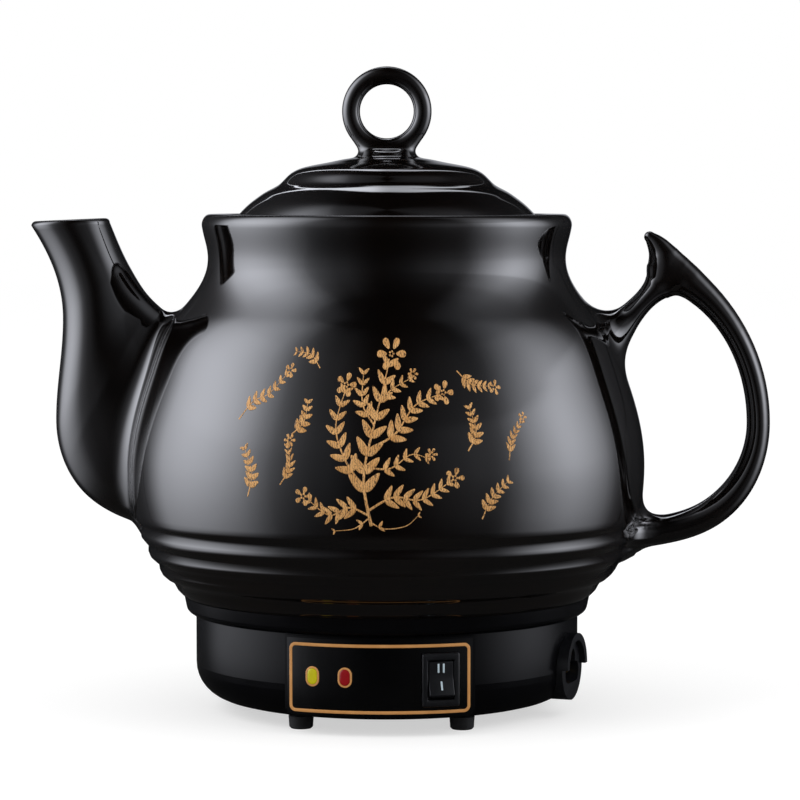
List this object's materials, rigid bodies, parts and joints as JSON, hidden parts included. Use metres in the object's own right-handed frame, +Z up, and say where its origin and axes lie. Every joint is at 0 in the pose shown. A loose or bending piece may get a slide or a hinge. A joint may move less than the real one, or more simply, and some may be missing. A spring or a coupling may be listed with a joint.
{
  "type": "electric herbal-medicine pot",
  "caption": "Black glazed ceramic kettle-pot with spout, ear handle and lift-off ring-knob lid, on a round electric base with rocker switch, indicator windows and power inlet.",
  "frame": {"origin": "middle of the whole outline at the underside of the feet; the pot's own axis stands 5.35 mm towards the spout from it", "axes": "+X from the spout towards the handle, -Y out of the control panel (the front), +Z up"},
  "size_m": [0.301, 0.21, 0.2616],
  "materials": {
    "black_glaze": "high-gloss black glaze with a brown tinge at thin edges",
    "satin_black_plastic": "satin moulded black plastic",
    "foot_rubber": "soft black rubber",
    "steel": "plated sheet steel",
    "label_film": "glossy printed black film with a gold border",
    "yellow_lens": "clear yellow lens",
    "red_lens": "clear red lens",
    "circuit_board": "green coated board",
    "lamp_plastic": "tinted lamp",
    "diode_plastic": "moulded black",
    "switch_plastic": "fine satin black switch plastic",
    "brass": "stamped brass",
    "cast_aluminium": "turned cast aluminium",
    "element_steel": "heat-tinted tube",
    "silicone": "red silicone",
    "gasket_board": "pressed mica fibre board",
    "thermostat_plastic": "brown-black moulded body with a metal cap",
    "glass_sleeve": "woven glass-fibre sleeve"
  },
  "bodies": {
    "pot": {"pot_body": "black_glaze", "spout": "black_glaze", "handle": "black_glaze", "collar_ring": "satin_black_plastic", "base_housing": "satin_black_plastic", "bottom_cover": "satin_black_plastic", "rubber_feet": "foot_rubber", "cover_screws": "steel", "panel_label": "label_film", "warm_window": "yellow_lens", "heat_window": "red_lens", "indicator_board": "circuit_board", "indicator_lamps": "lamp_plastic", "board_screws": "steel", "power_diode": "diode_plastic", "switch_housing": "switch_plastic", "switch_terminals": "brass", "inlet_body": "switch_plastic", "inlet_pins": "brass", "heating_plate": "cast_aluminium", "heating_element": "element_steel", "plate_seal": "silicone", "clamp_gasket": "gasket_board", "clamp_bracket": "steel", "clamp_screws": "steel", "thermostat": "thermostat_plastic", "thermostat_strap": "steel", "thermal_fuse": "brass", "fuse_sleeve": "glass_sleeve"},
    "lid": {"lid": "black_glaze", "lid_knob": "black_glaze"},
    "rocker": {"switch_rocker": "switch_plastic"},
    "contact": {"switch_contact": "brass"}
  },
  "joints": [
    {"name": "lid_lift", "type": "slide", "parent": "pot", "child": "lid", "axis": [0, 0, 1], "range_m": [0, 0.12]},
    {"name": "rocker_tilt", "type": "hinge", "parent": "pot", "child": "rocker", "pos_m": [0.01799, -0.07494, 0.0226], "axis": [0.9548, 0.2974, 0], "range_deg": [0, 22]},
    {"name": "contact_tilt", "type": "hinge", "parent": "pot", "child": "contact", "pos_m": [0.01546, -0.06683, 0.0226], "axis": [0.9548, 0.2974, 0], "range_deg": [-16, 0]}
  ],
  "couplings": [
    {"joint": "contact_tilt", "follows": "rocker_tilt", "ratio": -0.7272}
  ]
}
